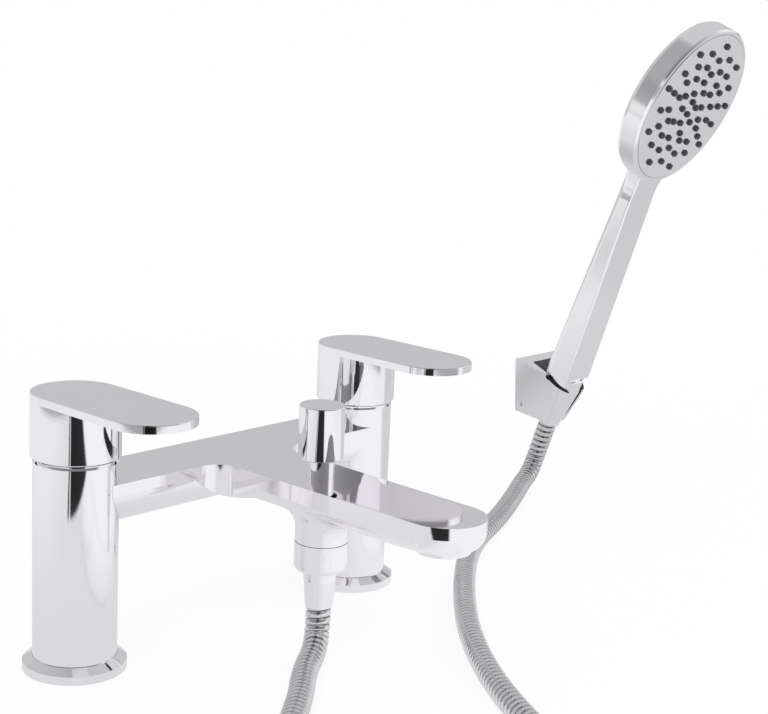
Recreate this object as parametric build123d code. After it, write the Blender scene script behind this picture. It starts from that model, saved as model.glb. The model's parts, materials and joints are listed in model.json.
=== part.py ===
from build123d import *
import math
import os

# Bath and shower mixer set: a deck-mounted bridge mixer on two pillars, a wall bracket,
# a hand shower and its hose. All sizes are millimetres. The origin lies on the deck,
# midway between the pillar axes; the spout points along -Y and the deck face is z = 0.

# Deck fixing
inlet_spacing = 180.0        # between the two pillar axes
tail_r = 13.22               # three-quarter inch tail, over its thread
tail_bore_r = 8.5
tail_length = 50.0           # below the deck
deck_thickness = 18.0        # the board that the nuts clamp
washer_h = 3.0
washer_r = 21.0
backnut_h = 8.0
backnut_flats = 36.0
thread_gap = 0.05            # radial clearance of every threaded fit

# Pillars
pillar_r = 19.1
pillar_top = 97.5
flange_r = 23.6
flange_h = 6.6               # top of the ring's slope
flange_rim = 3.9             # height of its upright rim
flange_slope = 4.0           # how far the slope runs in
gasket_h = 0.8
pillar_bore_r = 15.5
foot_web = 8.0               # solid foot that holds the tail
seat_low = 58.0
seat_web = 6.0               # web that the cartridge sits on
seat_hole_r = 5.0
pocket_r = 12.05             # bore round the cartridge
gland_thread_r = 14.0
gland_depth = 9.5

# Cartridges and handles
cartridge_r = 12.0
cartridge_neck_r = 7.9
neck_height = 10.0
spindle_r = 4.0
fit_gap = 0.03               # radial clearance of a turning or sliding shaft
disc_r = 9.4
disc_h = 3.0
gland_head_r = 17.2
gland_head_h = 4.2
lever_top = 129.0
lever_r = 20.2               # half the width of the lever and the skirt's radius
lever_reach = 71.4           # from the pillar axis to the lever's tip
lever_thick = 3.8
skirt_gap = 1.8              # shadow gap between pillar and handle
skirt_wall = 2.3
skirt_chamfer = 0.8
hub_r = 8.0
lever_screw_r = 2.0

# Bridge and spout
plate_top = 88.0
arm_half = 18.0              # half the width of the arms
spout_root_half = 20.3
spout_tip_half = 18.7
spout_reach = 158.5          # from the pillar line to the tip
corner_r = 11.0              # where an arm turns into the spout
arm_belly_r = 18.05          # radius of the rounded underside across an arm
arm_low = 66.0               # its lowest line
belly_r = 23.4               # radius of the rounded underside across the spout
belly_low = 69.5             # its lowest line
belly_end = -124.0           # where it starts to rise to the tip
belly_rise = 4.0             # length of that rise
tip_low = 73.2               # flat underside of the spout's end
tip_round = 9.4              # rounding from that flat into the upright side
junction_r = 51.0            # radius of the deeper underside where arms and spout meet
junction_low = 67.6
junction_y = -13.0
waterway_z = 77.8
waterway_r = 5.2
spigot_r = 8.45
spigot_gap = 0.05
spigot_reach = 14.0          # spigot end, measured from the pillar axis
port_r = 6.0
seal_r = 0.9                 # cord radius of the spigot O-rings

# Diverter through the spout, with the shower outlet below it
outlet_y = -64.0             # axis of the knob, rod and plug
drop_y = -66.5               # axis of the boss, nipple and hose nut
boss_r = 12.3
boss_low = 58.0
boss_flare = 9.0             # rounding where the boss leaves the underside
chamber_r = 8.5
chamber_low = 66.0
chamber_floor = 3.0
outlet_hole_r = 4.5
bonnet_r = 6.6
bonnet_top = 96.7
rod_r = 2.5
press_gap = 0.02             # radial clearance of parts that are pushed on
knob_r = 10.6
knob_low = 97.0
knob_top = 122.0
knob_wall = 2.2
diverter_lift = 10.0
plug_r = 7.0
plug_h = 3.0
plug_rest = 0.3              # plug above the chamber floor when it is down
chamber_top = chamber_low + plug_rest + plug_h + diverter_lift + 4.2
nipple_spigot_r = 8.5
nipple_r = 10.45
nipple_low = 49.0
nipple_bore_r = 6.0
collar_r = 12.4
collar_low = 43.7
collar_floor = 2.0
collar_round = 3.0
hose_washer_h = 1.7
hose_end_z = 26.0            # lower edge of the sleeve that grips the hose
hose_grip = 7.0              # length of hose inside each metal end

# Aerator
aerator_r = 12.3
aerator_low = tip_low - 0.8
aerator_h = 6.6
aerator_core_r = 10.2

# Hose
hose_r = 5.9                 # over the ribs
hose_bore_r = 4.0
rib_pitch = 3.95
rib_depth = 0.8
hose_rest = 6.0              # height of its centre line where it lies on the deck
coil_x = -127.0
coil_y = -266.0
coil_r = 76.0                # centre line where the hose joins and leaves the coil
coil_start = 130.0           # direction of that place from the coil's centre, degrees
coil_quarters = 6            # quarter turns in the coil
coil_step = 12.5             # between layers, and between neighbouring turns
coil_lead = 14.0             # straight hose at each end of the coil

# Wall bracket
bracket_x = 312.0
wall_y = 50.0
holder_y = 24.5              # where the holder's axis stands at holder_z
holder_z = 80.0
holder_tilt = 17.8           # lean of the hand shower out of the wall, degrees
bracket_half_top = 20.5      # half the block's width at the wall, at its top and underside
bracket_half_low = 17.6
block_top = -2.55            # top, underside and other heights along the holder's axis
block_low = -35.0
holder_top_r = 15.7          # radius of the conical front at those two heights
holder_low_r = 9.6
holder_slot = 15.0
lip_y = 3.0                  # ahead of this line the rim steps down and slopes
lip_top = -4.6
lip_slope = 17.0             # degrees
opening_floor = -9.0         # of the opening behind the hand shower
opening_back = 19.0
opening_half = 11.0
opening_r = 14.2
liner_wall = 0.9
liner_top = -4.1             # under the handle's lower end
liner_proud = 0.4            # of the liner above the sloping rim
seat_gap = 0.25              # between the hose cone and the liner
plate_w = 33.0
plate_h = 29.0
plate_t = 4.0
plate_z = 69.5
wall_screw_r = 2.2           # holes for the two wall screws
wall_screw_spacing = 18.0
lock_screw_r = 1.4           # grub screw from the underside against the wall plate
lock_screw_set = 0.6         # how far it sits inside its hole

# Hand shower, along the holder's axis
handle_low = -2.35
handset_turn = 3.0           # how far the hand shower is turned in its holder, degrees
handle_w = 26.6
handle_thick_low = 18.2
handle_thick_top = 10.8
handle_ahead_low = 0.8       # the section stands ahead of the axis
handle_ahead_top = 3.7
handle_edge = 1.4            # rounding of the handle's front edges
handle_back_edge = 4.0
handle_straight = 122.0      # where the handle starts to swell into the head
head_r = 49.6
head_thick = 14.7
head_forward = 19.0          # face centre ahead of the handle's axis
head_up = 185.5
head_tilt = 6.2              # of the face against the handle
face_r = 46.6
face_gap = 0.2
face_seat = 2.6
nozzle_rings = ((4.5, 3, 0.0), (11.0, 6, 0.0), (16.5, 6, 30.0), (22.0, 9, 0.0),
                (26.5, 9, 20.0), (31.0, 9, 0.0), (35.5, 9, 20.0), (40.0, 9, 0.0))
nozzle_r = 2.0
nozzle_tip_r = 1.6
nozzle_proud = 1.8
mat_h = 1.6
stub_r = 10.48               # half-inch thread
stub_root_r = 6.4
stub_depth = 9.0             # how far the stub sits in the handle
stub_low = -10.5
washer_gap = 0.1             # between the stub's end and the washer
cone_top_r = 12.2
cone_low_r = 7.0
cone_shoulder = -11.0
cone_low = -37.5
water_r = 4.0
neck_lead = 8.0              # how far the straight bore runs past the handle's straight part

# Frames of the holder and of the shower face
GRIP = Pos(bracket_x, holder_y, holder_z) * Rot(holder_tilt, 0, 0)
TURNED = GRIP * Rot(0, 0, handset_turn)
FACE = TURNED * Pos(0, -head_forward, head_up) * Rot(head_tilt, 0, 0) * Rot(90, 0, 0)
SIDES = (("left", -1), ("right", 1))


def post(radius, low, high, x=0.0, y=0.0):
    """Upright cylinder between two heights."""
    body = Cylinder(radius, high - low, align=(Align.CENTER, Align.CENTER, Align.MIN))
    return Pos(x, y, low) * body


def tube(outer, inner, low, high, x=0.0, y=0.0):
    """Upright ring between two heights."""
    return post(outer, low, high, x, y) - post(inner, low - 1, high + 1, x, y)


def turned(points):
    """Solid of revolution about Z from (radius, height) points."""
    outline = Polyline(*[(r, 0, z) for r, z in points], close=True)
    return revolve(make_face(outline), Axis.Z)


def block(x0, x1, y0, y1, z0, z1):
    """Box between two corners."""
    body = Box(x1 - x0, y1 - y0, z1 - z0, align=(Align.MIN, Align.MIN, Align.MIN))
    return Pos(x0, y0, z0) * body


def lying(radius, start, end):
    """Round bar between two points."""
    a, b = Vector(*start), Vector(*end)
    plane = Plane(origin=a, z_dir=b - a)
    return extrude(plane * Circle(radius), amount=(b - a).length)


def hexagon(flats, low, high, x, y):
    """Upright hexagonal bar, measured across its flats."""
    outline = Pos(x, y, low) * RegularPolygon(flats / 2, 6, major_radius=False)
    return extrude(outline, amount=high - low)


def single(shape):
    """The one solid of a result."""
    solids = shape.solids()
    return solids[0] if len(solids) == 1 else shape


def pillar(side):
    """Brass pillar: foot, seat web, cartridge pocket and the port for the bridge."""
    x = side * inlet_spacing / 2
    body = post(pillar_r, gasket_h, pillar_top, x)
    body -= post(pillar_bore_r, foot_web, seat_low, x)
    body -= post(tail_r + thread_gap, 0, foot_web, x)
    body -= post(seat_hole_r, seat_low - 1, seat_low + seat_web + 1, x)
    body -= post(pocket_r, seat_low + seat_web, pillar_top + 1, x)
    body -= post(gland_thread_r + thread_gap, pillar_top - gland_depth, pillar_top + 1, x)
    face = x - side * (pillar_r + 1)
    deep = x - side * (spigot_reach - 0.4)
    body -= lying(spigot_r + spigot_gap, (face, 0, waterway_z), (deep, 0, waterway_z))
    body -= lying(port_r, (face, 0, waterway_z), (x, 0, waterway_z))
    return body


def tail(side):
    """Threaded tail screwed into the foot, with grooves for its thread."""
    x = side * inlet_spacing / 2
    body = tube(tail_r, tail_bore_r, -tail_length, foot_web, x)
    groove = 1.0
    z = -tail_length + 2.5
    while z < -deck_thickness - washer_h - backnut_h - 1.5:
        body -= tube(tail_r + 1, tail_r - groove / 2, z, z + groove, x)
        z += 2 * groove
    return body


def flange(side):
    """Chrome cover ring round the foot."""
    x = side * inlet_spacing / 2
    inner = pillar_r + thread_gap
    profile = [(inner, 0), (flange_r, 0), (flange_r, flange_rim), (flange_r - flange_slope, flange_h),
               (inner, flange_h)]
    return Pos(x, 0, 0) * turned(profile)


def cartridge(side):
    """Hollow ceramic-disc cartridge body, open at the top for its spindle."""
    x = side * inlet_spacing / 2
    low = seat_low + seat_web
    shoulder = pillar_top - gland_depth
    body = post(cartridge_r, low, shoulder, x)
    body += post(cartridge_neck_r, shoulder, pillar_top + gland_head_h + neck_height / 2, x)
    body -= post(disc_r + 0.2, low + 2, low + 2 + 2 * disc_h + 4, x)
    body -= post(seat_hole_r, low - 1, low + 3, x)
    body -= post(spindle_r + fit_gap, low + 2, lever_top, x)
    port_z = waterway_z + 1
    body -= lying(2.6, (x - side * 20, 0, port_z), (x - side * (disc_r - 1), 0, port_z))
    return body


def fixed_disc(side):
    """Lower ceramic disc with two openings."""
    x = side * inlet_spacing / 2
    low = seat_low + seat_web + 2
    body = post(disc_r, low, low + disc_h, x)
    for angle in (90, 270):
        body -= Pos(x, 0, low) * Rot(0, 0, angle) * Pos(5.4, 0, 0) * Box(4, 5, 20)
    return body


def turning_disc(side):
    """Upper ceramic disc, driven by the spindle."""
    x = side * inlet_spacing / 2
    low = seat_low + seat_web + 2 + disc_h
    body = post(disc_r, low, low + disc_h, x)
    for angle in (0, 180):
        body -= Pos(x, 0, low) * Rot(0, 0, angle) * Pos(5.4, 0, 0) * Box(4, 5, 20)
    return body


def spindle_top():
    """Height of the spindle's end inside the lever's hub."""
    return lever_top - lever_thick - 6.0


def spindle(side):
    """Spindle from the turning disc up into the lever, with a collar under the neck."""
    x = side * inlet_spacing / 2
    low = seat_low + seat_web + 2 + 2 * disc_h
    body = post(spindle_r, low, spindle_top(), x)
    body += post(disc_r - 1.5, low, low + 2.5, x)
    return body


def gland(side):
    """Retaining ring screwed into the pillar; its edge shows in the shadow gap."""
    x = side * inlet_spacing / 2
    body = post(gland_thread_r, pillar_top - gland_depth, pillar_top, x)
    body += post(gland_head_r, pillar_top, pillar_top + gland_head_h, x)
    return body - post(cartridge_neck_r + thread_gap, 0, lever_top, x)


def capsule(x, radius, reach, low, high):
    """Flat plate with two round ends, the back one round the pillar axis."""
    front = reach - radius
    body = post(radius, low, high, x) + post(radius, low, high, x, -front)
    return body + block(x - radius, x + radius, -front, 0, low, high)


def lever(side):
    """Flat lever on a round skirt, with a hub for the spindle."""
    x = side * inlet_spacing / 2
    skirt_low = pillar_top + skirt_gap
    plate_low = lever_top - lever_thick
    outer = post(lever_r, skirt_low, plate_low + 1, x)
    outer = chamfer(outer.edges().filter_by(GeomType.CIRCLE).group_by(Axis.Z)[0], skirt_chamfer)
    body = outer - post(lever_r - skirt_wall, skirt_low - 1, plate_low, x)
    body += post(hub_r, pillar_top + gland_head_h + neck_height / 2 + 0.6, plate_low + 1, x)
    plate = capsule(x, lever_r, lever_reach, plate_low, lever_top)
    rims = plate.edges().group_by(Axis.Z)
    plate = fillet(rims[-1], 0.5)
    body += plate
    body -= post(spindle_r + press_gap, 0, spindle_top(), x)
    return body - lying(lever_screw_r, (x, 0, screw_z()), (x, lever_r + 1, screw_z()))


def screw_z():
    """Height of the lever's grub screw."""
    return pillar_top + gland_head_h + neck_height / 2 + 6.0


def lever_screw(side):
    """Grub screw that holds the lever on its spindle."""
    x = side * inlet_spacing / 2
    start = (x, spindle_r + 0.1, screw_z())
    end = (x, hub_r + 0.4, screw_z())
    bar = lying(lever_screw_r - thread_gap, start, end)
    key = lying(0.9, (x, hub_r - 1.6, screw_z()), (x, hub_r + 1, screw_z()))
    return bar - key


def plan_outline():
    """Plan of the bridge and spout: a T with rounded inner corners and a round tip."""
    tip_y = -(spout_reach - spout_tip_half)
    root_y = -arm_half - corner_r
    half = inlet_spacing / 2
    arms = Rectangle(2 * half, 2 * arm_half)
    spout = make_face(Polyline(
        (-spout_root_half, 0), (-spout_root_half, root_y), (-spout_tip_half, tip_y),
        (spout_tip_half, tip_y), (spout_root_half, root_y), (spout_root_half, 0), close=True))
    plan = arms + spout
    corners = [v for v in plan.vertices() if abs(abs(v.X) - spout_root_half) < 0.01
               and abs(v.Y + arm_half) < 0.01]
    plan = fillet(corners, corner_r)
    return plan + Pos(0, tip_y) * Circle(spout_tip_half)


def tip_form():
    """Round end of the spout: an upright side that turns into a flat underside."""
    flat = spout_tip_half - tip_round
    side = tip_low + tip_round
    outline = make_face(
        Polyline((flat, tip_low), (0, tip_low), (0, plate_top), (spout_tip_half, plate_top),
                 (spout_tip_half, side))
        + CenterArc((flat, side), tip_round, 0, -90))
    tip_y = -(spout_reach - spout_tip_half)
    return Pos(0, tip_y, 0) * revolve(Plane.XZ * outline, Axis.Z)


def spout_side():
    """Side view of the spout's belly: level, then a short rise behind the aerator."""
    tip_y = -(spout_reach - spout_tip_half)
    return make_face(Polyline(
        (0, belly_low - 1), (belly_end, belly_low - 1), (belly_end, belly_low),
        (belly_end - belly_rise, tip_low), (tip_y, tip_low), (tip_y, plate_top + 1), (0, plate_top + 1),
        close=True))


def underside():
    """Rounded volume that gives the arms, spout and tip their curved underside."""
    centre = belly_low + belly_r
    tip_y = -(spout_reach - spout_tip_half)
    half = inlet_spacing / 2
    arm_centre = arm_low + arm_belly_r
    shape = lying(arm_belly_r, (-half, 0, arm_centre), (half, 0, arm_centre))
    shape += block(-half, half, -arm_belly_r, arm_belly_r, arm_centre, plate_top)
    belly = lying(belly_r, (0, 0, centre), (0, tip_y, centre))
    shape += belly & extrude(Plane.YZ * spout_side(), amount=belly_r, both=True)
    shape += tip_form()
    shape += Pos(0, junction_y, junction_low + junction_r) * Sphere(junction_r)
    return shape


def add_boss(body):
    """Join the shower outlet boss to the underside and round the edge between them."""
    body += post(boss_r, boss_low, plate_top - 4, 0, drop_y)
    seam = []
    for edge in body.edges():
        spots = [edge @ share for share in (0.0, 0.5, 1.0)]
        off = max(abs(math.hypot(p.X, p.Y - drop_y) - boss_r) for p in spots)
        if off < 0.01 and min(p.Z for p in spots) > boss_low + 1:
            seam.append(edge)
    return fillet(seam, boss_flare)


def bridge():
    """Cast bridge and spout with its waterways, boss and spigots."""
    half = inlet_spacing / 2
    prism = extrude(Pos(0, 0, boss_low) * plan_outline(), amount=plate_top - boss_low)
    body = add_boss(prism & underside())
    for name, side in SIDES:
        body -= post(pillar_r + thread_gap, 0, lever_top, side * half)
        near = side * (half - pillar_r - 4)
        end = side * (half - spigot_reach)
        body += lying(spigot_r, (near, 0, waterway_z), (end, 0, waterway_z))
        body -= Pos(spigot_seal_x(side), 0, waterway_z) * (
            Rot(0, 90, 0) * Torus(spigot_r - seal_r, seal_r + 0.02))
    tip_y = -(spout_reach - spout_tip_half)
    body -= lying(waterway_r, (-half, 0, waterway_z), (half, 0, waterway_z))
    body -= lying(waterway_r, (0, 0, waterway_z), (0, tip_y, waterway_z + 1))
    body -= post(chamber_r, chamber_low, chamber_top, 0, outlet_y)
    body -= post(bonnet_r + thread_gap, chamber_low, plate_top + 1, 0, outlet_y)
    body -= post(outlet_hole_r, boss_low - 1, chamber_low + 1, 0, outlet_y)
    body -= post(nipple_spigot_r + thread_gap, boss_low - 1, chamber_low - chamber_floor, 0, drop_y)
    body -= post(aerator_r + thread_gap, 0, aerator_low + aerator_h + 0.6, 0, tip_y)
    body -= post(aerator_core_r - 1, aerator_low, waterway_z + 3, 0, tip_y)
    return body


def spigot_seal_x(side):
    """Where the O-ring of one spigot lies."""
    return side * (inlet_spacing / 2 - spigot_reach - 2.0)


def spigot_seals():
    """Two O-rings on the bridge's spigots."""
    rings = []
    for name, side in SIDES:
        ring = Rot(0, 90, 0) * Torus(spigot_r - seal_r, seal_r)
        rings.append(Pos(spigot_seal_x(side), 0, waterway_z) * ring)
    return Compound(rings)


def knob():
    """Round pull knob, hollow from below with a boss for the rod."""
    body = post(knob_r, knob_low, knob_top, 0, outlet_y)
    rims = body.edges().filter_by(GeomType.CIRCLE).group_by(Axis.Z)
    body = fillet(rims[-1] + rims[0], 0.5)
    body -= post(knob_r - knob_wall, knob_low - 1, knob_top - 5, 0, outlet_y)
    body += post(rod_r + 2, knob_low + 6, knob_top - 4, 0, outlet_y)
    return body - post(rod_r + press_gap, knob_low, knob_top - 3, 0, outlet_y)


def rod():
    """Diverter rod from the plug up into the knob."""
    low = chamber_low + plug_rest
    neck = tube(rod_r + 1, rod_r - 0.7, low, low + plug_h, 0, outlet_y)
    return post(rod_r, low, knob_top - 3, 0, outlet_y) - neck


def bonnet():
    """Guide screwed into the spout top; the rod slides through it."""
    body = post(bonnet_r, chamber_top, bonnet_top, 0, outlet_y)
    top = body.edges().filter_by(GeomType.CIRCLE).group_by(Axis.Z)[-1]
    body = fillet(top, 0.4)
    body -= post(rod_r + fit_gap, 0, lever_top, 0, outlet_y)
    seal_z = chamber_top + 3.0
    return body - tube(rod_r + 1.3, rod_r - 0.5, seal_z - 0.8, seal_z + 0.8, 0, outlet_y)


def bonnet_seal():
    """O-ring in the guide, round the rod."""
    return Pos(0, outlet_y, chamber_top + 3.0) * Torus(rod_r + 0.68, 0.6)


def plug():
    """Rubber plug on the rod; down, it shuts the shower outlet."""
    low = chamber_low + plug_rest
    return tube(plug_r, rod_r - 0.7 + press_gap, low, low + plug_h, 0, outlet_y)


def nipple():
    """Threaded outlet screwed up into the boss."""
    body = post(nipple_spigot_r, boss_low, chamber_low - chamber_floor - 0.3, 0, drop_y)
    body += post(nipple_r, nipple_low, boss_low, 0, drop_y)
    return body - post(nipple_bore_r, 0, lever_top, 0, drop_y)


def check_valve():
    """Non-return valve cartridge inside the nipple."""
    low = nipple_low + 2
    body = tube(nipple_bore_r - thread_gap, 3.6, low, low + 9, 0, drop_y)
    body += block(-4, 4, drop_y - 0.8, drop_y + 0.8, low, low + 6)
    return body + post(1.6, low, low + 8, 0, drop_y)


def hose_collar():
    """Swivel nut of the hose, with a rounded lower edge."""
    top = boss_low - 0.25
    body = post(collar_r, collar_low, top, 0, drop_y)
    low_rim = body.edges().filter_by(GeomType.CIRCLE).group_by(Axis.Z)[0]
    body = fillet(low_rim, collar_round)
    body -= post(nipple_r + thread_gap, collar_low + collar_floor, top + 1, 0, drop_y)
    return body - post(7.65, 0, lever_top, 0, drop_y)


def hose_washer():
    """Rubber washer between the nipple and the hose end."""
    return tube(nipple_r - 0.5, nipple_bore_r - 1, nipple_low - hose_washer_h, nipple_low, 0, drop_y)


def ferrule():
    """Tapered metal end of the hose, with a head inside the nut."""
    head_top = nipple_low - hose_washer_h
    head_low = collar_low + collar_floor + 0.1
    grip_top = hose_end_z + hose_grip
    socket = hose_r + thread_gap
    points = [(hose_bore_r, grip_top), (socket, grip_top), (socket, hose_end_z),
              (socket + 0.5, hose_end_z), (7.5, head_low - 7), (7.5, head_low),
              (9.6, head_low), (9.6, head_top), (hose_bore_r, head_top)]
    return Pos(0, drop_y, 0) * turned(points)


def aerator_housing():
    """Threaded aerator ring under the spout's tip."""
    tip_y = -(spout_reach - spout_tip_half)
    return tube(aerator_r, aerator_core_r + 0.1, aerator_low, aerator_low + aerator_h, 0, tip_y)


def aerator_core():
    """Aerator insert with a grid of outlet holes."""
    tip_y = -(spout_reach - spout_tip_half)
    low = aerator_low + 0.8
    body = post(aerator_core_r, low, aerator_low + aerator_h, 0, tip_y)
    body -= post(aerator_core_r - 1.2, low + 2, aerator_low + aerator_h + 1, 0, tip_y)
    pitch = 3.0
    for row in range(-2, 3):
        for column in range(-2, 3):
            if row * row + column * column < 7:
                body -= post(1.0, low - 1, low + 3, column * pitch, tip_y + row * pitch)
    return body


def aerator_seal():
    """Flat seal above the aerator."""
    tip_y = -(spout_reach - spout_tip_half)
    low = aerator_low + aerator_h
    return tube(aerator_r - 0.2, aerator_core_r - 0.9, low, low + 0.6, 0, tip_y)


def deck_washers():
    """Rubber washers under the deck, one on each tail."""
    low = -deck_thickness - washer_h
    return Compound([tube(washer_r, tail_r + 0.1, low, -deck_thickness, s * inlet_spacing / 2)
                     for n, s in SIDES])


def backnuts():
    """Brass nuts that clamp the deck."""
    low = -deck_thickness - washer_h - backnut_h
    nuts = []
    for name, side in SIDES:
        x = side * inlet_spacing / 2
        nut = hexagon(backnut_flats, low, low + backnut_h, x, 0)
        nuts.append(single(nut - post(tail_r + thread_gap, low - 1, 1, x)))
    return Compound(nuts)


def base_gaskets():
    """Rubber gaskets between the pillar feet and the deck."""
    return Compound([tube(pillar_r - 0.1, tail_r + 0.3, 0, gasket_h, s * inlet_spacing / 2)
                     for n, s in SIDES])


def holder_radius(z):
    """Radius of the bracket's conical front at a height along the holder's axis."""
    slope = (holder_top_r - holder_low_r) / (block_top - block_low)
    return holder_low_r + (z - block_low) * slope


def wall_reach(z):
    """Distance from the holder's axis back to the wall at a height along that axis."""
    lean = math.radians(holder_tilt)
    return (wall_y - holder_y + z * math.sin(lean)) / math.cos(lean)


def block_outline(z, half):
    """Plan of the block: straight sides from past the wall to where they touch the cone."""
    radius = holder_radius(z)
    back = wall_reach(z)
    far = math.hypot(half, back)
    turn = math.atan2(half, back) - math.asin(radius / far)
    run = math.sqrt(far * far - radius * radius)
    past = 3.0
    outer = (half + past * math.sin(turn), back + past * math.cos(turn))
    touch = (half - run * math.sin(turn), back - run * math.cos(turn))
    return make_face(Polyline((-outer[0], outer[1], z), (-touch[0], touch[1], z),
                              (touch[0], touch[1], z), (outer[0], outer[1], z), close=True))


def above_lip(lift):
    """Space over the sloping rim of the holder's front, some way above it."""
    ahead = 40.0
    drop = (ahead + lip_y) * math.tan(math.radians(lip_slope))
    profile = make_face(Polyline((lip_y, lip_top + lift), (lip_y, ahead), (-ahead, ahead),
                                 (-ahead, lip_top + lift - drop), close=True))
    return extrude(Plane.YZ * profile, amount=ahead, both=True)


def opening(low, gap):
    """Recess round and behind the hand shower, less a gap."""
    side = math.sqrt(opening_r ** 2 - lip_y ** 2)
    plan = make_face(Polyline((-opening_half, opening_back), (-side, lip_y), (side, lip_y),
                              (opening_half, opening_back), close=True))
    plan = fillet(plan.vertices().group_by(Axis.Y)[-1], 1.5)
    plan = plan + Circle(opening_r)
    if gap:
        plan = offset(plan, -gap)
    return extrude(Pos(0, 0, low) * plan, amount=40.0)


def bracket():
    """Chrome wall block with a slotted conical front and an opening for the hand shower."""
    low = block_outline(block_low, bracket_half_low)
    high = block_outline(block_top, bracket_half_top)
    body = loft([low, high], ruled=True)
    body += turned([(0, block_low), (holder_low_r, block_low), (holder_top_r, block_top), (0, block_top)])
    body = GRIP * body
    far = 40.0
    body -= block(bracket_x - far, bracket_x + far, wall_y, wall_y + far, 0, lever_top)
    body -= GRIP * above_lip(0.0)
    body -= GRIP * opening(opening_floor, 0.0)
    body -= GRIP * turned(cup_profile(liner_wall + seat_gap))
    body -= GRIP * block(-holder_slot / 2, holder_slot / 2, -far, 0, block_low - 10, far)
    room = 0.15
    body -= block(bracket_x - plate_w / 2 - room, bracket_x + plate_w / 2 + room,
                  wall_y - plate_t - room, wall_y + 1,
                  plate_z - plate_h / 2 - room, plate_z + plate_h / 2 + room)
    return body - post(lock_screw_r + thread_gap, 0, plate_z - plate_h / 2, bracket_x, lock_screw_y())


def lock_screw_y():
    """The grub screw stands under the wall plate's edge, a little ahead of its middle."""
    return wall_y - plate_t / 2 - 0.3


def lock_screw():
    """Grub screw that holds the block on its wall plate."""
    top = plate_z - plate_h / 2
    lean = math.radians(holder_tilt)
    ahead = wall_y - lock_screw_y()
    under = holder_z + (block_low + (wall_y - holder_y) * math.sin(lean)) / math.cos(lean)
    low = under - ahead * math.tan(lean) + lock_screw_r * math.tan(lean) + lock_screw_set
    bar = post(lock_screw_r, low, top, bracket_x, lock_screw_y())
    return bar - post(lock_screw_r / 2, low - 1, low + 1.2, bracket_x, lock_screw_y())


def cup_profile(gap):
    """Outline of the hose cone, grown by a gap, for the holder and its liner."""
    over = 30.0
    slope = (cone_top_r - cone_low_r) / (cone_shoulder - cone_low)
    low = cone_low - 5
    low_r = cone_low_r + gap - 5 * slope
    return [(0, low), (low_r, low), (cone_top_r + gap, cone_shoulder),
            (cone_top_r + gap, over), (0, over)]


def liner():
    """Black plastic liner: a slotted cone joined to a filler for the opening behind it."""
    far = 40.0
    cup = turned(cup_profile(liner_wall + seat_gap - press_gap))
    cup = cup & block(-far, far, -far, far, block_low, liner_top)
    filler = opening(opening_floor + press_gap, press_gap)
    body = cup + (filler & block(-far, far, -far, far, -far, liner_top))
    body -= above_lip(liner_proud)
    body -= turned(cup_profile(seat_gap))
    body -= block(-holder_slot / 2, holder_slot / 2, -far, 0, -60, far)
    return GRIP * body


def bracket_plate():
    """Steel plate inside the block, with two holes for wall screws."""
    body = block(bracket_x - plate_w / 2, bracket_x + plate_w / 2, wall_y - plate_t, wall_y,
                 plate_z - plate_h / 2, plate_z + plate_h / 2)
    sink = wall_screw_r
    for side in (-1, 1):
        x = bracket_x + side * wall_screw_spacing / 2
        cone = turned([(0, 0), (wall_screw_r + sink, 0), (wall_screw_r, sink), (0, sink)])
        body -= lying(wall_screw_r, (x, wall_y - plate_t - 1, plate_z), (x, wall_y + 1, plate_z))
        body -= Pos(x, wall_y - plate_t, plate_z) * Rot(-90, 0, 0) * cone
    return body


def handle_section(z, width, thick, forward):
    """Section across the handle: two crisp front corners and two soft back corners."""
    outline = Rectangle(width, thick)
    outline = fillet(outline.vertices().group_by(Axis.Y)[0], handle_edge)
    outline = fillet(outline.vertices().group_by(Axis.Y)[-1], handle_back_edge)
    return Pos(0, -forward, z) * outline


def head_blank():
    """Round head: flat front rim, side wall and a shallow domed back."""
    profile = [(0, 0), (head_r - 1.0, 0), (head_r, -1.2), (head_r, -head_thick + 3.5),
               (head_r - 1.2, -head_thick + 1.2), (head_r - 4.0, -head_thick),
               (head_r * 0.5, -head_thick - 1.8), (0, -head_thick - 2.3)]
    return FACE * turned(profile)


def handset_body():
    """Hand shower shell: handle, swelling neck and head, with waterway and face seat."""
    low = handle_section(handle_low, handle_w, handle_thick_low, handle_ahead_low)
    top = handle_section(handle_straight, handle_w, handle_thick_top, handle_ahead_top)
    shape = TURNED * loft([low, top], ruled=True)
    swell = [(handle_straight, handle_w, handle_thick_top, handle_ahead_top),
             (handle_straight + 14, handle_w + 1.4, 11.6, 4.7),
             (handle_straight + 24, handle_w + 10.0, 12.0, 6.4),
             (handle_straight + 36, handle_w + 32.0, 11.0, 8.8)]
    shape += TURNED * loft([handle_section(*row) for row in swell])
    shape += head_blank()
    shape -= FACE * post(face_r + face_gap, -head_thick + 3.0, 1.0)
    bend = (0, -handle_ahead_top - 0.4, handle_straight + neck_lead)
    start = (TURNED * Pos(0, 0, handle_low - 1)).position
    middle = (TURNED * Pos(*bend)).position
    end = (FACE * Pos(0, -face_r + 8, -head_thick + 4.5)).position
    shape -= lying(water_r, start, middle) + lying(water_r, middle, end) + Pos(middle) * Sphere(water_r)
    shape -= TURNED * post(stub_root_r + thread_gap, handle_low - 1, handle_low + stub_depth)
    return shape


def handset_stub():
    """Threaded brass end of the handle."""
    body = post(stub_root_r, handle_low, handle_low + stub_depth - 0.2)
    body += post(stub_r, stub_low, handle_low)
    return GRIP * (body - post(water_r, -60, 60))


def face_points():
    """Nozzle centres on eight rings."""
    points = []
    for radius, count, first in nozzle_rings:
        for k in range(count):
            angle = math.radians(first + 360.0 * k / count)
            points.append((radius * math.cos(angle), radius * math.sin(angle)))
    return points


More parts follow.
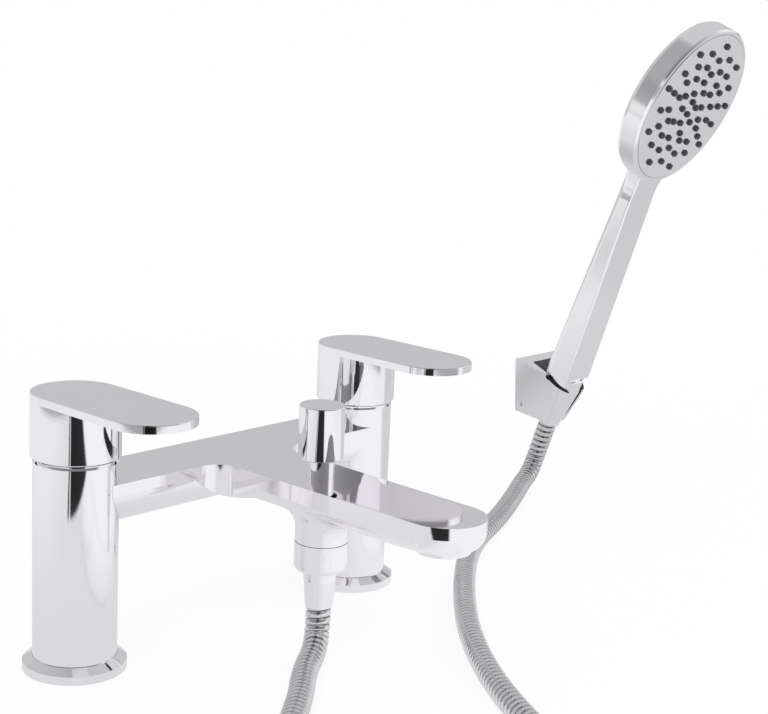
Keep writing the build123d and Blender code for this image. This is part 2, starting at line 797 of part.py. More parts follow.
def spray_face():
    """Round face plate with a hole for each nozzle."""
    plate = post(face_r, -face_seat, 0.4)
    plate = fillet(plate.edges().filter_by(GeomType.CIRCLE).group_by(Axis.Z)[-1], 0.35)
    holes = Sketch() + [Pos(x, y) * Circle(nozzle_r + 0.1) for x, y in face_points()]
    plate -= extrude(Pos(0, 0, -face_seat - 1) * holes, amount=face_seat + 3)
    return FACE * plate


def nozzle_mat():
    """Rubber mat behind the face with a tapered nozzle in each hole."""
    low = -face_seat - mat_h
    mat = post(face_r - 1.5, low, -face_seat)
    nozzle = turned([(0, -face_seat - 0.2), (nozzle_r, -face_seat - 0.2),
                     (nozzle_r, 0.4), (nozzle_tip_r, nozzle_proud), (0, nozzle_proud)])
    return FACE * (mat + [Pos(x, y) * nozzle for x, y in face_points()])


def distributor():
    """Disc that spreads the water behind the mat."""
    top = -face_seat - mat_h
    body = post(face_r - 0.6, top - 2.0, top)
    for k in range(12):
        body -= Rot(0, 0, 30 * k) * post(2.2, top - 4, top + 1, 30.0, 0)
    return FACE * body


def handset_nut():
    """Conical hose nut on the handle's thread; it sits in the holder."""
    body = turned([(0, cone_low), (cone_low_r, cone_low), (cone_top_r, cone_shoulder),
                   (cone_top_r, handle_low - 0.5), (0, handle_low - 0.5)])
    body -= post(stub_r + thread_gap, stub_low - hose_washer_h, 0)
    body -= post(hose_r + thread_gap, cone_low - 1, cone_low + hose_grip)
    return GRIP * (body - post(hose_bore_r, cone_low - 1, 0))


def handset_washer():
    """Rubber washer between the handle's end and the hose."""
    return GRIP * tube(stub_r - 0.4, hose_bore_r + 0.5, stub_low - hose_washer_h, stub_low - washer_gap)


def hose_start():
    """Point inside the outlet's ferrule where the hose begins."""
    return (0.0, drop_y, hose_end_z + hose_grip)


def hose_finish():
    """Point inside the conical nut where the hose ends."""
    return tuple((GRIP * Pos(0, 0, cone_low + hose_grip)).position)


def coil_point(quarter):
    """Point and direction of the coil's centre line after some quarter turns."""
    angle = math.radians(coil_start + 90.0 * quarter)
    middle = coil_quarters / 2
    slope = -coil_step / 4
    inward = min(quarter, coil_quarters - quarter)
    radius = coil_r + slope * min(inward, middle - 1)
    if abs(quarter - middle) < 0.5:
        radius += slope / 2
        slope = 0.0
    elif quarter > middle:
        slope = -slope
    climbed = min(max((quarter - middle + 1) / 2, 0.0), 1.0)
    rise = coil_step * 0.75 if 0.25 < climbed < 0.75 else 0.0
    height = hose_rest + coil_step * climbed
    out = Vector(math.cos(angle), math.sin(angle), 0)
    along = Vector(-math.sin(angle), math.cos(angle), 0)
    step = along * (radius * math.pi / 2) + out * slope + Vector(0, 0, rise)
    if quarter in (0, coil_quarters):
        step = along
    return Vector(coil_x, coil_y, height) + out * radius, step.normalized()


def coil_ends():
    """Ends of the straight leads before and after the coil."""
    first, heading = coil_point(0)
    last, leaving = coil_point(coil_quarters)
    return first - heading * coil_lead, last + leaving * coil_lead, heading, leaving


def outlet_route():
    """Hose route from the outlet down to the deck and along it to the coil."""
    first, last, heading, leaving = coil_ends()
    return [hose_start(), (0, drop_y, 15), (-9, -73.5, 7.2), (-27, -85, hose_rest),
            (-50, -106, hose_rest), (-94, -138, hose_rest), tuple(first - heading * 34),
            tuple(first)]


def bracket_route():
    """Hose route from the coil along the deck and up to the hand shower's nut."""
    first, last, heading, leaving = coil_ends()
    return [tuple(last), tuple(last + leaving * 26), (-40, -280, 11.5), (-12, -225, hose_rest),
            (18, -165, hose_rest), (60, -110, hose_rest), (112, -62, hose_rest),
            (168, -20, hose_rest), (222, 2, hose_rest), (265, 24, hose_rest),
            (291, 38.5, hose_rest), (304, 42, 10),
            tuple((GRIP * Pos(0, 0, cone_low - 18)).position), hose_finish()]


def laid_path(points):
    """Straight runs joined by arcs as large as the shorter run beside each allows."""
    points = [Vector(*p) for p in points]
    radii = []
    for before, at, after in zip(points, points[1:], points[2:]):
        turn = math.radians((at - before).get_angle(after - at))
        run = min((at - before).length, (after - at).length)
        radii.append(0.45 * run / math.tan(turn / 2))
    return FilletPolyline(*points, radius=radii), radii


def coil_path():
    """Centre line of the coil: a pair of arcs for each quarter turn, and straight leads."""
    start, end, heading, leaving = coil_ends()
    first, direction = coil_point(0)
    edges = [Line(start, first)]
    for quarter in range(coil_quarters):
        p0, t0 = coil_point(quarter)
        p1, t1 = coil_point(quarter + 1)
        span = p1 - p0
        both = t0 + t1
        along = span.dot(both)
        square = 2 * (1 - t0.dot(t1))
        reach = (math.sqrt(along * along + square * span.dot(span)) - along) / square
        joint = (p0 + t0 * reach + p1 - t1 * reach) / 2
        edges.append(TangentArc(p0, joint, tangent=t0))
        edges.append(TangentArc(joint, p1, tangent=edges[-1] % 1))
    edges.append(Line(edges[-1] @ 1, end))
    return Wire(edges)


def section_plane(path, share, seed):
    """Plane square to a path, with its X axis held near one direction."""
    along = path % share
    across = seed - along * seed.dot(along)
    return Plane(origin=path @ share, x_dir=across, z_dir=along)


def ribbed_hose(points, seed):
    """Ribbed metal hose along a route, with its bore."""
    path, radii = laid_path(points)
    plain = 2.0
    ribs = round((path.length - 2 * plain) / rib_pitch)
    pitch = (path.length - 2 * plain) / ribs
    groove = hose_r - rib_depth
    stations = [(0.0, groove)]
    for rib in range(ribs):
        base = plain + rib * pitch
        for part, radius in ((0.0, groove), (0.25, hose_r), (0.6, hose_r), (0.85, groove)):
            stations.append((base + part * pitch, radius))
    stations.append((path.length, groove))
    sections = []
    for place, radius in stations:
        sections.append(section_plane(path, place / path.length, seed) * Circle(radius))
    outer = loft(sections, ruled=True)
    bore = sweep(section_plane(path, 0, seed) * Circle(hose_bore_r), path=path)
    hose = outer - bore
    drawn = path.length * math.pi * (hose_r ** 2 - hose_bore_r ** 2)
    print(f"hose run {path.length:.0f} mm, {ribs} ribs, volume {hose.volume / drawn:.3f} of a plain tube")
    print("  bend radii " + " ".join(f"{r:.0f}" for r in radii))
    return hose, path.length


def coil():
    """Wound part of the hose: one unbroken tube in two layers."""
    path = coil_path()
    start = Plane(origin=path @ 0, z_dir=path % 0)
    ring = start * (Circle(hose_r) - Circle(hose_bore_r))
    tube_solid = sweep(ring, path=path)
    count = 720
    spots = [path @ (k / count) for k in range(count + 1)]
    apart = int(count * 0.4 * 4 / coil_quarters)
    gap = min((spots[i] - spots[j]).length for i in range(count + 1)
              for j in range(i + apart, count + 1))
    share = tube_solid.volume / (path.length * math.pi * (hose_r ** 2 - hose_bore_r ** 2))
    print(f"coil {path.length:.0f} mm, least gap {gap - 2 * hose_r:.2f} mm, volume {share:.3f}")
    return tube_solid, path.length


def write(name, shape):
    """One STEP file for each named piece."""
    export_step(shape, f"parts/{name}.step")


def build_mixer():
    """Everything that stands on the deck."""
    for name, side in SIDES:
        write(f"{name}_pillar", single(pillar(side)))
        write(f"{name}_tail", single(tail(side)))
        write(f"{name}_base_flange", single(flange(side)))
        write(f"{name}_cartridge", single(cartridge(side)))
        write(f"{name}_fixed_disc", single(fixed_disc(side)))
        write(f"{name}_turning_disc", single(turning_disc(side)))
        write(f"{name}_spindle", single(spindle(side)))
        write(f"{name}_gland_ring", single(gland(side)))
        write(f"{name}_lever", single(lever(side)))
        write(f"{name}_lever_screw", single(lever_screw(side)))
    write("bridge_body", single(bridge()))
    write("spigot_seals", spigot_seals())
    write("diverter_knob", single(knob()))
    write("diverter_rod", single(rod()))
    write("diverter_bonnet", single(bonnet()))
    write("diverter_seal", single(bonnet_seal()))
    write("diverter_plug", single(plug()))
    write("outlet_nipple", single(nipple()))
    write("check_valve", single(check_valve()))
    write("outlet_washer", single(hose_washer()))
    write("aerator_housing", single(aerator_housing()))
    write("aerator_core", single(aerator_core()))
    write("aerator_seal", single(aerator_seal()))
    write("deck_washers", deck_washers())
    write("backnuts", backnuts())
    write("base_gaskets", base_gaskets())


def build_shower():
    """Wall bracket, hand shower and the hose ends."""
    write("hose_collar", single(hose_collar()))
    write("hose_ferrule", single(ferrule()))
    write("bracket_body", single(bracket()))
    write("bracket_liner", single(liner()))
    write("bracket_plate", single(bracket_plate()))
    write("bracket_lock_screw", single(lock_screw()))
    write("handset_body", single(handset_body()))
    write("handset_stub", single(handset_stub()))
    write("spray_face", single(spray_face()))
    write("nozzle_mat", single(nozzle_mat()))
    write("distributor", single(distributor()))
    write("handset_nut", single(handset_nut()))
    write("handset_washer", single(handset_washer()))


def build_hose():
    """The hose in three stretches: from the outlet, the coil, and up to the bracket."""
    seed = Vector(0.65, -0.76, 0)
    lower, lower_length = ribbed_hose(outlet_route(), seed)
    wound, wound_length = coil()
    upper, upper_length = ribbed_hose(bracket_route(), seed)
    write("hose_outlet_run", single(lower))
    write("hose_coil", single(wound))
    write("hose_bracket_run", single(upper))
    print(f"whole hose {lower_length + wound_length + upper_length:.0f} mm")


os.makedirs("parts", exist_ok=True)
build_mixer()
build_shower()
build_hose()
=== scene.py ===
import bpy
import json
import math
import numpy as np
from mathutils import Matrix, Vector


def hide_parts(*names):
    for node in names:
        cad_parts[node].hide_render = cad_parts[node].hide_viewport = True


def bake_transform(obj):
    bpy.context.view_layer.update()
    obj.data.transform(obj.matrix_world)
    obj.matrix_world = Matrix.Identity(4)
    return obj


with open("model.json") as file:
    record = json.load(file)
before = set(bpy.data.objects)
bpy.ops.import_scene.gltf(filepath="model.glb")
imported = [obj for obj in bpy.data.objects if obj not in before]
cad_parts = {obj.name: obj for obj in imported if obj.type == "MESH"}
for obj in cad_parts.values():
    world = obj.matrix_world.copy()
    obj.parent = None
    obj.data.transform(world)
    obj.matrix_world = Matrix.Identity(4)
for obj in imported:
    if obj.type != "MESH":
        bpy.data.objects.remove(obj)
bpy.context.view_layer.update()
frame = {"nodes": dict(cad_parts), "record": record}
nodes = frame["nodes"]

MM = 0.001


# Camera

CAMERA_PLACE = np.array([-519.89, -568.83, 300.96]) * MM
CAMERA_YAW = math.radians(47.97)      # from +Y towards +X
CAMERA_PITCH = math.radians(12.12)    # downwards
CAMERA_ROLL = math.radians(2.69)
CAMERA_LENS = 76.65                   # millimetres, on the sensor's width
SENSOR = 36.0


def make_camera():
    """Camera at the photograph's place: its axes from yaw, pitch and roll."""
    sy, cy = math.sin(CAMERA_YAW), math.cos(CAMERA_YAW)
    sp, cp = math.sin(CAMERA_PITCH), math.cos(CAMERA_PITCH)
    look = np.array([sy * cp, cy * cp, -sp])
    level = np.array([cy, -sy, 0.0])
    upright = np.cross(level, look)
    sr, cr = math.sin(CAMERA_ROLL), math.cos(CAMERA_ROLL)
    right = cr * level + sr * upright
    up = -sr * level + cr * upright
    data = bpy.data.cameras.new("photo_camera")
    data.lens = CAMERA_LENS
    data.sensor_width = SENSOR
    data.sensor_fit = "HORIZONTAL"
    data.clip_start = 0.01
    data.clip_end = 50.0
    camera = bpy.data.objects.new("photo_camera", data)
    bpy.context.collection.objects.link(camera)
    axes = np.eye(4)
    axes[:3, 0] = right
    axes[:3, 1] = up
    axes[:3, 2] = -look
    axes[:3, 3] = CAMERA_PLACE
    camera.matrix_world = Matrix(axes.tolist())
    bpy.context.scene.camera = camera


# Shader maths

class Term:
    """A shader value that takes Python's operators; each adds one Math node."""

    def __init__(self, recipe, socket):
        self.recipe = recipe
        self.socket = socket

    def _math(self, operation, *values):
        return self.recipe.node("ShaderNodeMath", {"operation": operation}, dict(enumerate(values)))

    def __add__(self, other):
        return self._math("ADD", self, other)

    __radd__ = __add__

    def __sub__(self, other):
        return self._math("SUBTRACT", self, other)

    def __rsub__(self, other):
        return self._math("SUBTRACT", other, self)

    def __mul__(self, other):
        return self._math("MULTIPLY", self, other)

    __rmul__ = __mul__

    def __truediv__(self, other):
        return self._math("DIVIDE", self, other)

    def power(self, exponent):
        return self._math("POWER", self, exponent)

    def clamped(self):
        return self._math("MINIMUM", self._math("MAXIMUM", self, 0.0), 1.0)


class Recipe:
    """A material or world being written: its tree and the one method that adds nodes."""

    def __init__(self, tree):
        self.tree = tree
        tree.nodes.clear()

    def node(self, kind, settings=None, values=None, out=0):
        made = self.tree.nodes.new(kind)
        for name, value in (settings or {}).items():
            if name == "stops":
                self.write_stops(made.color_ramp, value)
            else:
                setattr(made, name, value)
        for name, value in (values or {}).items():
            if isinstance(value, Term):
                self.tree.links.new(value.socket, made.inputs[name])
            else:
                made.inputs[name].default_value = value
        return Term(self, made.outputs[out]) if made.outputs else made

    def write_stops(self, ramp, stops):
        ends = [ramp.elements[0], ramp.elements[-1]]
        ends[0].position, ends[1].position = stops[0][0], stops[-1][0]
        ends[0].color, ends[1].color = (*stops[0][1], 1.0), (*stops[-1][1], 1.0)
        for place, colour in stops[1:-1]:
            ramp.elements.new(place).color = (*colour, 1.0)

    def noise(self, scale, detail=2.0):
        values = {"Scale": scale, "Detail": detail, "Roughness": 0.5}
        values["Vector"] = self.object_place()
        return self.node("ShaderNodeTexNoise", {}, values)

    def grey_ramp(self, place, tones):
        stops = [(at, (tone, tone, tone)) for at, tone in tones]
        return self.node("ShaderNodeValToRGB", {"stops": stops}, {0: place})

    def object_place(self):
        return self.node("ShaderNodeTexCoord", out="Object")

    def smooth(self, value, low, high, to_low=0.0, to_high=1.0):
        return self.node("ShaderNodeMapRange", {"interpolation_type": "SMOOTHSTEP"},
                         {0: value, 1: low, 2: high, 3: to_low, 4: to_high})

    def mix(self, factor, one, two):
        return self.node("ShaderNodeMix", {"data_type": "RGBA"}, {0: factor, 6: one, 7: two}, out=2)

    def bump(self, height, strength, distance):
        return self.node("ShaderNodeBump", {}, {"Height": height, "Strength": strength,
                                                 "Distance": distance})

    def surface(self, shader):
        end = self.tree.nodes.new("ShaderNodeOutputMaterial")
        self.tree.links.new(shader.socket, end.inputs[0])


def new_material(name):
    made = bpy.data.materials.new(name)
    made.use_nodes = True
    return made, Recipe(made.node_tree)


def rgb(*parts):
    return (*parts, 1.0)


def polished_chrome():
    """Bright plate: near-mirror, with faint wiping marks in its roughness."""
    made, recipe = new_material("polished_chrome")
    wiping = recipe.noise(45.0, 3.0)
    fine = recipe.noise(900.0, 2.0)
    tint = recipe.mix(wiping, rgb(0.91, 0.895, 0.935), rgb(0.94, 0.925, 0.96))
    roughness = 0.035 + 0.03 * recipe.smooth(wiping, 0.45, 0.7)
    normal = recipe.bump(fine, 0.02, 0.0001)
    recipe.surface(recipe.node("ShaderNodeBsdfPrincipled", {}, {
        "Base Color": tint, "Metallic": 1.0, "Roughness": roughness, "Normal": normal}))
    return made


def plated_plastic():
    """Plating over moulded plastic: a little softer and wavier than on brass."""
    made, recipe = new_material("plated_plastic")
    wave = recipe.noise(22.0, 1.0)
    grain = recipe.noise(1400.0, 2.0)
    tint = recipe.mix(wave, rgb(0.93, 0.915, 0.945), rgb(0.96, 0.945, 0.97))
    roughness = 0.12 + 0.06 * grain
    normal = recipe.bump(wave + 0.05 * grain, 0.10, 0.0006)
    recipe.surface(recipe.node("ShaderNodeBsdfPrincipled", {}, {
        "Base Color": tint, "Metallic": 1.0, "Roughness": roughness, "Normal": normal}))
    return made


def hose_steel():
    """Bright stainless strip of the hose, with painted shade darkening it down in its grooves."""
    made, recipe = new_material("hose_steel")
    streak = recipe.noise(160.0, 3.0)
    groove = recipe.node("ShaderNodeAttribute", {"attribute_name": "groove"}, out="Fac")
    tint = recipe.mix(streak, rgb(0.66, 0.65, 0.68), rgb(0.84, 0.83, 0.86))
    # painted shade: the strip turns near-black where the groove depth is high, down in the grooves
    tint = recipe.mix(groove, tint, rgb(0.15, 0.15, 0.16))
    recipe.surface(recipe.node("ShaderNodeBsdfPrincipled", {}, {
        "Base Color": tint, "Metallic": 1.0, "Roughness": 0.10 + 0.10 * streak}))
    return made


def plain_metal(name, dark, light, roughness):
    """Unplated metal with turning marks and stains."""
    made, recipe = new_material(name)
    stain = recipe.noise(60.0, 4.0)
    fine = recipe.noise(2200.0, 2.0)
    tint = recipe.mix(stain, rgb(*dark), rgb(*light))
    normal = recipe.bump(fine, 0.15, 0.0002)
    recipe.surface(recipe.node("ShaderNodeBsdfPrincipled", {}, {
        "Base Color": tint, "Metallic": 1.0, "Roughness": roughness + 0.12 * stain, "Normal": normal}))
    return made


def moulding(name, dark, light, roughness, grain=0.25):
    """Moulded rubber or plastic with a fine matt grain and uneven sheen."""
    made, recipe = new_material(name)
    cloud = recipe.noise(70.0, 3.0)
    fine = recipe.noise(3000.0, 2.0)
    tint = recipe.mix(cloud, rgb(*dark), rgb(*light))
    normal = recipe.bump(fine, grain, 0.0001)
    recipe.surface(recipe.node("ShaderNodeBsdfPrincipled", {}, {
        "Base Color": tint, "Roughness": roughness + 0.1 * cloud, "Normal": normal,
        "Specular IOR Level": 0.25}))
    return made


def dress(node, material):
    """Gives a CAD piece its finish."""
    slots = nodes[node].data.materials
    if not slots:
        slots.append(material)
    for index in range(len(slots)):
        slots[index] = material


# Meshes from arrays

def add_piece(name, points, faces, material, smooth=True):
    """A mesh object from an array of points in metres and a list of faces."""
    mesh = bpy.data.meshes.new(name)
    mesh.from_pydata(np.asarray(points).tolist(), [], [list(map(int, f)) for f in faces])
    mesh.materials.append(material)
    mesh.shade_smooth() if smooth else mesh.shade_flat()
    made = bpy.data.objects.new(name, mesh)
    bpy.context.collection.objects.link(made)
    return made


# Hose

# All in millimetres. The hose, over its ribs, and the height of its centre on the deck
HOSE_R = 5.9
HOSE_REST = 6.0
HOSE_SIDES = 20
RIB_PITCH = 3.73
RIB_DEPTH = 0.85
# one rib from groove to groove: share of the pitch, share of the depth
RIB_PROFILE = np.array([(0.00, 1.0), (0.10, 0.15), (0.30, 0.0), (0.62, 0.0), (0.84, 0.15), (0.93, 1.0)])
END_GAP = 0.3
LINE_STEPS = 24

# Its upper ends: below the outlet, and inside the nut on the holder's leaning axis
DROP_Y = -66.5
HOSE_END_Z = 26.0
HOSE_GRIP = 7.0
GRIP_PLACE = np.array([312.0, 24.5, 80.0])
GRIP_TILT = math.radians(17.8)
GRIP_AXIS = np.array([0.0, -math.sin(GRIP_TILT), math.cos(GRIP_TILT)])
CONE_LOW = -37.5
STRAIGHT_RUN = 18.0

# The coil: an angle where it starts, quarter turns, the step between two turns or layers
COIL_CENTRE = np.array([-127.0, -266.0])
COIL_R = 76.0
COIL_START = math.radians(130.0)
COIL_QUARTERS = 6
COIL_MARKS = 39
COIL_STEP = 12.5
COIL_LEAD = 14.0
COIL_ENTRY = 34.0
COIL_EXIT = 26.0
LAST_TURN = COIL_START + math.pi / 2 * COIL_QUARTERS


def coil_points():
    """Control points round the coil: it spirals in, climbs a layer and spirals out."""
    turned = np.linspace(0.0, COIL_QUARTERS, COIL_MARKS + 2)[1:-1]
    middle = COIL_QUARTERS / 2
    innermost = middle - 0.7
    inward = np.minimum(np.minimum(turned, COIL_QUARTERS - turned), innermost)
    climbed = np.clip((turned - middle + 1) / 2, 0.0, 1.0)
    # the spline runs inside its control points, so these stand a little further out
    spread = 1.0 / math.cos(math.pi / 2 * COIL_QUARTERS / (2 * len(turned) + 2)) ** 0.5
    radius = (COIL_R - COIL_STEP / 4 * inward) * spread
    angle = COIL_START + math.pi / 2 * turned
    height = HOSE_REST + COIL_STEP * climbed * climbed * (3 - 2 * climbed)
    return np.stack([COIL_CENTRE[0] + radius * np.cos(angle),
                     COIL_CENTRE[1] + radius * np.sin(angle), height], 1)


def coil_end(angle, height):
    """Place where the hose meets the coil, and its heading there."""
    place = np.array([COIL_CENTRE[0] + COIL_R * math.cos(angle),
                      COIL_CENTRE[1] + COIL_R * math.sin(angle), height])
    return place, np.array([-math.sin(angle), math.cos(angle), 0.0])


def hose_route():
    """Control points of the whole hose, from the outlet round the coil to the hand shower."""
    first, heading = coil_end(COIL_START, HOSE_REST)
    last, leaving = coil_end(LAST_TURN, HOSE_REST + COIL_STEP)
    route = [(0, DROP_Y, HOSE_END_Z + HOSE_GRIP), (0, DROP_Y, 15), (-9, -73.5, 7.2),
             (-27, -85, HOSE_REST), (-50, -106, HOSE_REST), (-94, -138, HOSE_REST),
             first - heading * COIL_ENTRY, first - heading * COIL_LEAD]
    route += list(coil_points())
    route += [last + leaving * COIL_LEAD, last + leaving * COIL_EXIT, (-40, -280, 11.5),
              (-12, -225, HOSE_REST), (18, -165, HOSE_REST), (60, -110, HOSE_REST),
              (112, -62, HOSE_REST), (168, -20, HOSE_REST), (222, 2, HOSE_REST),
              (265, 24, HOSE_REST), (291, 38.5, HOSE_REST), (304, 42, 10),
              GRIP_PLACE + GRIP_AXIS * (CONE_LOW - STRAIGHT_RUN),
              GRIP_PLACE + GRIP_AXIS * (CONE_LOW + HOSE_GRIP)]
    return np.array([np.asarray(p, float) for p in route]) * MM


def spline_line(route):
    """Points along the NURBS spline that has the route as its control points."""
    curve = bpy.data.curves.new("hose_line", "CURVE")
    curve.dimensions = "3D"
    curve.resolution_u = LINE_STEPS
    spline = curve.splines.new("NURBS")
    spline.points.add(len(route) - 1)
    spline.points.foreach_set("co", np.column_stack([route, np.ones(len(route))]).ravel())
    spline.order_u = 3
    spline.use_endpoint_u = True
    holder = bpy.data.objects.new("hose_line", curve)
    bpy.context.collection.objects.link(holder)
    bpy.context.view_layer.update()
    mesh = bpy.data.meshes.new_from_object(holder.evaluated_get(bpy.context.evaluated_depsgraph_get()))
    line = np.empty(len(mesh.vertices) * 3)
    mesh.vertices.foreach_get("co", line)
    bpy.data.objects.remove(holder)
    bpy.data.curves.remove(curve)
    bpy.data.meshes.remove(mesh)
    return line.reshape(-1, 3)


def along_line(line, places):
    """Points and unit directions at distances along a line of points, and its length."""
    steps = np.linalg.norm(np.diff(line, axis=0), axis=1)
    run = np.concatenate([[0.0], np.cumsum(steps)])
    point = np.stack([np.interp(places, run, line[:, k]) for k in range(3)], -1)
    reach = 0.0004
    ahead = np.stack([np.interp(places + reach, run, line[:, k]) for k in range(3)], -1)
    behind = np.stack([np.interp(places - reach, run, line[:, k]) for k in range(3)], -1)
    direction = ahead - behind
    return point, direction / np.linalg.norm(direction, axis=-1, keepdims=True), run[-1]


def make_hose(material):
    """Spiral-ribbed hose. A rib's edge runs along a helix: the grid's rows are sheared by one
    pitch a turn, and its seam joins each row to the one a whole rib further on."""
    line = spline_line(hose_route())
    length = along_line(line, np.array([0.0]))[2]
    ribs = int(length / (RIB_PITCH * MM)) - 2
    gap = END_GAP * MM
    pitch = (length - 2 * gap) / (ribs + 1)
    place = (np.arange(ribs)[:, None] + RIB_PROFILE[None, :, 0]).ravel() * pitch + gap
    sunk = np.tile(RIB_PROFILE[:, 1], ribs)
    turn = np.arange(HOSE_SIDES) / HOSE_SIDES
    point, direction, _ = along_line(line, place[:, None] + pitch * turn[None, :])
    # a level direction that the hose never runs along, so its grid never twists over
    level = np.array([0.65, -0.76, 0.0])
    side = level - direction * (direction @ level)[..., None]
    side /= np.linalg.norm(side, axis=-1, keepdims=True)
    rise = np.cross(direction, side)
    radius = (HOSE_R * MM - sunk * RIB_DEPTH * MM)[:, None, None]
    angle = (2 * math.pi * turn)[None, :, None]
    shell = point + radius * (side * np.cos(angle) + rise * np.sin(angle))
    rows, per = len(place), len(RIB_PROFILE)
    i, j = np.meshgrid(np.arange(rows - 1), np.arange(HOSE_SIDES - 1), indexing="ij")
    corner = i * HOSE_SIDES + j
    body = np.stack([corner, corner + 1, corner + HOSE_SIDES + 1, corner + HOSE_SIDES], -1)
    k = np.arange(rows - 1 - per)
    last, first = k * HOSE_SIDES + HOSE_SIDES - 1, (k + per) * HOSE_SIDES
    seam = np.stack([last, first, first + HOSE_SIDES, last + HOSE_SIDES], -1)
    faces = np.concatenate([body.reshape(-1, 4), seam])
    hose = add_piece("shower_hose", shell.reshape(-1, 3), faces, material)
    hose.visible_glossy = False
    # groove depth per point, which the hose material turns into painted shade in the grooves
    groove = hose.data.attributes.new("groove", "FLOAT", "POINT")
    groove.data.foreach_set("value", np.repeat(sunk, HOSE_SIDES))
    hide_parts("hose_outlet_run", "hose_coil", "hose_bracket_run")
    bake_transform(hose)
    print("hose length", round(float(length), 4), "ribs", ribs)


# Studio

# Level directions of the picture: into its depth, and to its right
LOOK = (math.sin(CAMERA_YAW), math.cos(CAMERA_YAW))
RIGHT = (math.cos(CAMERA_YAW), -math.sin(CAMERA_YAW))

FLOOR_HALF = 6.0
FLOOR_Z = -0.0003
BASE_SHARE = 0.9          # of the floor that shines by itself, the rest takes the shadow

# Greys of the room round the mixer, from behind it (0 and 1) over the picture's left (0.25), the
# camera (0.5) and the right (0.75)
WALL_TONES = [(0.0, 0.56), (0.14, 0.60), (0.27, 0.66), (0.33, 0.34), (0.44, 0.26), (0.475, 0.14),
              (0.48, 0.03), (0.53, 0.03), (0.535, 0.15), (0.57, 0.22), (0.70, 0.28), (0.74, 1.0),
              (0.81, 1.0), (0.86, 0.80), (0.895, 0.70), (0.90, 0.05), (0.907, 0.05), (0.912, 0.62),
              (1.0, 0.56)]
ROOF_TONES = [(0.0, 0.66), (0.20, 0.54), (0.36, 0.40), (0.44, 0.26), (0.47, 0.02), (0.53, 0.02),
              (0.56, 0.30), (0.70, 0.50), (1.0, 0.66)]
# the black band behind the camera ends below this part of the room
DARK_BAND = (0.44, 0.57)
BAND_TOP = (0.238, 0.275)
ROOF_EDGE = (0.38, 0.55)

LAMP_TARGET = np.array([0.1, -0.05, 0.1])


def plan_places(recipe, vector):
    """A vector's shares along the picture's depth, across it and upwards."""
    parts = recipe.node("ShaderNodeSeparateXYZ", {}, {0: vector}).socket.node.outputs
    x, y, z = (Term(recipe, parts[k]) for k in range(3))
    return x * LOOK[0] + y * LOOK[1], x * RIGHT[0] + y * RIGHT[1], z


def make_floor():
    """Pale floor: white to the camera, with the object's soft shadow left in it. Metal sees
    it grey on the left, white on the right, and ending in a dark gap in front."""
    made, recipe = new_material("studio_floor")
    camera = recipe.node("ShaderNodeLightPath", out="Is Camera Ray")
    glossy = recipe.node("ShaderNodeLightPath", out="Is Glossy Ray")
    glass = recipe.node("ShaderNodeLightPath", out="Is Transmission Ray")
    depth, across, _ = plan_places(recipe, recipe.object_place())
    radius = (depth * depth + across * across).power(0.5)
    # grey on the left, lighter on the right, a little darker again at both far sides
    tone = recipe.smooth(across, -0.40, -0.10, 0.86, 0.74) + recipe.smooth(across, 0.0, 0.15, 0.0, 0.20)
    tone = tone - recipe.smooth(across, 0.42, 0.52, 0.0, 0.05)
    tone = tone - recipe.smooth(depth, 0.08, 0.16, 0.0, 0.30) * recipe.smooth(across, -0.1, 0.05)
    # a shaded ring in front of the mixer
    far = recipe.smooth(radius, 0.56, 0.60) * recipe.smooth(radius, 1.60, 2.00, 1.0, 0.0)
    far = far * recipe.smooth(depth, -0.12, 0.0, 1.0, 0.0) * recipe.smooth(across, -0.9, -0.7)
    # the dark gap in front, with a lighter strip in it
    gap = recipe.smooth(depth + 0.1 * across, -0.335, -0.32, 1.0, 0.0)
    gap = gap * recipe.smooth(across, -0.108, -0.102) * recipe.smooth(across, 0.14, 0.18, 1.0, 0.0)
    strip = recipe.smooth(across, -0.092, -0.088) * recipe.smooth(across, -0.075, -0.070, 1.0, 0.0)
    tone = tone * (1.0 - 0.62 * far) * (1.0 - 0.97 * gap * (1.0 - 0.8 * strip))
    reflected = recipe.node("ShaderNodeCombineColor", {}, {0: tone, 1: tone, 2: tone})
    shown = recipe.mix(camera, reflected, rgb(1, 1, 1))
    plain = recipe.node("ShaderNodeBsdfDiffuse", {}, {"Color": rgb(0.9, 0.9, 0.9)})
    lit = recipe.node("ShaderNodeEmission", {}, {"Color": shown, "Strength": 1.0})
    seen = camera * recipe.smooth(radius, 0.3, 0.8, BASE_SHARE, 1.0)
    mirrored = glossy * (BASE_SHARE + (1.0 - BASE_SHARE) * gap)
    share = (seen + mirrored + glass * BASE_SHARE).clamped()
    recipe.surface(recipe.node("ShaderNodeMixShader", {}, {0: share, 1: plain, 2: lit}))
    corners = [(x * FLOOR_HALF, y * FLOOR_HALF, FLOOR_Z) for x, y in ((-1, -1), (1, -1), (1, 1), (-1, 1))]
    floor = add_piece("studio_floor", corners, [(0, 1, 2, 3)], made, smooth=False)


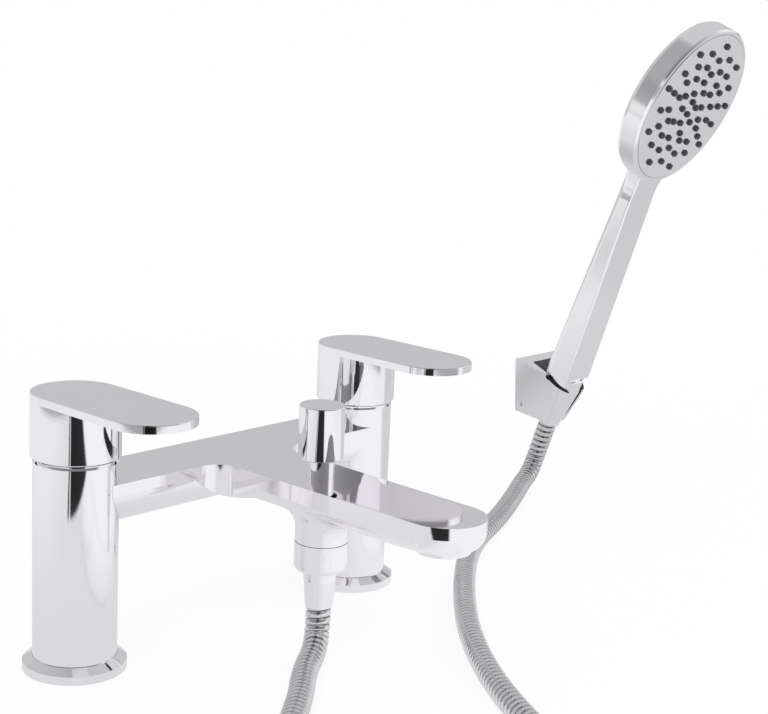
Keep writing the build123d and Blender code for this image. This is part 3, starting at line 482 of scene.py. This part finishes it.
def make_world():
    """White room. Metal sees a grey wall at the back and left, a white one on the right
    and a darker end of the room behind the camera, and a greyer roof."""
    world = bpy.data.worlds.new("studio")
    bpy.context.scene.world = world
    world.use_nodes = True
    recipe = Recipe(world.node_tree)
    camera = recipe.node("ShaderNodeLightPath", out="Is Camera Ray")
    glossy = recipe.node("ShaderNodeLightPath", out="Is Glossy Ray")
    depth, across, up = plan_places(recipe, recipe.node("ShaderNodeTexCoord", out="Generated"))
    heading = recipe.node("ShaderNodeMath", {"operation": "ARCTAN2"}, {0: across, 1: depth * -1.0})
    place = heading / (2 * math.pi) + 0.5
    walls = recipe.grey_ramp(place, WALL_TONES)
    open_tones = [(at, tone) for at, tone in WALL_TONES if not DARK_BAND[0] < at < DARK_BAND[1]]
    open_walls = recipe.grey_ramp(place, open_tones)
    roof = recipe.grey_ramp(place, ROOF_TONES)
    sides = recipe.mix(recipe.smooth(up, *BAND_TOP), walls, open_walls)
    room = recipe.mix(recipe.smooth(up, *ROOF_EDGE), sides, roof)
    shown = recipe.mix(glossy, rgb(0.75, 0.75, 0.75), room)
    light = recipe.node("ShaderNodeBackground", {}, {"Color": shown, "Strength": 1.0})
    white = recipe.node("ShaderNodeBackground", {}, {"Color": rgb(1, 1, 1), "Strength": 1.0})
    mixed = recipe.node("ShaderNodeMixShader", {}, {0: camera, 1: light, 2: white})
    end = world.node_tree.nodes.new("ShaderNodeOutputWorld")
    world.node_tree.links.new(mixed.socket, end.inputs[0])


def soft_lamp(name, place, size, power):
    """Square soft box that looks at the mixer and isn't mirrored in it."""
    data = bpy.data.lights.new(name, "AREA")
    data.shape = "SQUARE"
    data.size = size
    data.energy = power
    lamp = bpy.data.objects.new(name, data)
    bpy.context.collection.objects.link(lamp)
    lamp.visible_glossy = False
    lamp.location = place
    toward = LAMP_TARGET - np.array(place)
    lamp.rotation_mode = "QUATERNION"
    lamp.rotation_quaternion = Vector(toward).to_track_quat("-Z", "Y")


# Assembly

chrome = polished_chrome()
plated = plated_plastic()
steel = plain_metal("zinc_steel", (0.45, 0.45, 0.46), (0.62, 0.62, 0.63), 0.3)
brass = plain_metal("turned_brass", (0.62, 0.43, 0.18), (0.78, 0.58, 0.28), 0.22)
rubber = moulding("black_rubber", (0.015, 0.015, 0.016), (0.035, 0.035, 0.035), 0.55)
nozzle_rubber = moulding("nozzle_rubber", (0.035, 0.033, 0.04), (0.09, 0.085, 0.10), 0.5)
black_plastic = moulding("black_plastic", (0.010, 0.010, 0.011), (0.022, 0.022, 0.024), 0.35, 0.4)
white_plastic = moulding("white_plastic", (0.72, 0.72, 0.70), (0.82, 0.82, 0.80), 0.4)
ceramic = moulding("lapped_ceramic", (0.80, 0.79, 0.76), (0.88, 0.88, 0.86), 0.15, 0.05)
strip_steel = hose_steel()

FINISHES = {
    "chrome": chrome, "chromed_abs": plated, "brass": brass, "steel": steel, "rubber": rubber,
    "black_plastic": black_plastic, "white_plastic": white_plastic, "ceramic": ceramic,
    "hose_steel": strip_steel,
}
for part in frame["record"]["subparts"]:
    dress(part["node"], FINISHES[part["material_slot"]])
dress("nozzle_mat", nozzle_rubber)
dress("handset_stub", chrome)

make_camera()
make_hose(strip_steel)
make_floor()
make_world()
soft_lamp("key_box", (-1.2, -0.6, 1.6), 1.4, 18.0)
soft_lamp("fill_box", (1.4, -1.0, 1.2), 1.2, 9.0)

bpy.context.scene.view_settings.view_transform = "Standard"
